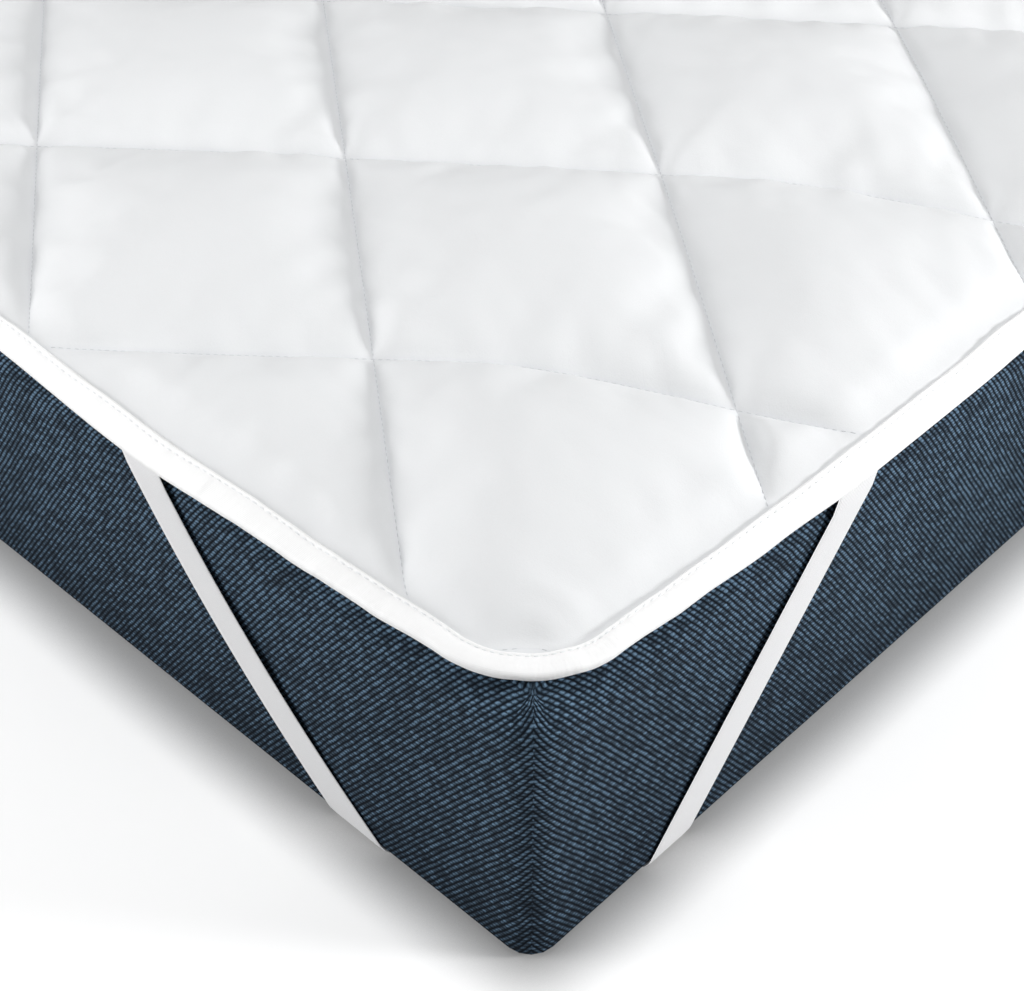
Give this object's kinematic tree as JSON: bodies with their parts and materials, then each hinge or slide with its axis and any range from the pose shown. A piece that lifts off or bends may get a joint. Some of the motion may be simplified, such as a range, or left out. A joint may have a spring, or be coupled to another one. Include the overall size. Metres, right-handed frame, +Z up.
{
  "type": "quilted mattress topper on a mattress",
  "caption": "Diamond-quilted filled topper with a bound edge, held on a plain foam mattress by diagonal elastic corner straps.",
  "frame": {"origin": "on the floor under the middle of the mattress", "axes": "+X across the mattress, +Y along its length, +Z up"},
  "size_m": [0.9098, 2.012, 0.2393],
  "materials": {
    "topper_fabric": "matte white brushed microfibre over wadding",
    "binding_tape": "matte white woven tape, lockstitched",
    "strap_elastic": "flat light grey woven elastic",
    "mattress_cover": "coarse navy twill with pale blue flecks"
  },
  "bodies": {
    "root": {"topper": "topper_fabric", "binding": "binding_tape", "mattress": "mattress_cover", "strap_front_right": "strap_elastic", "strap_front_left": "strap_elastic", "strap_back_right": "strap_elastic", "strap_back_left": "strap_elastic"}
  },
  "joints": []
}
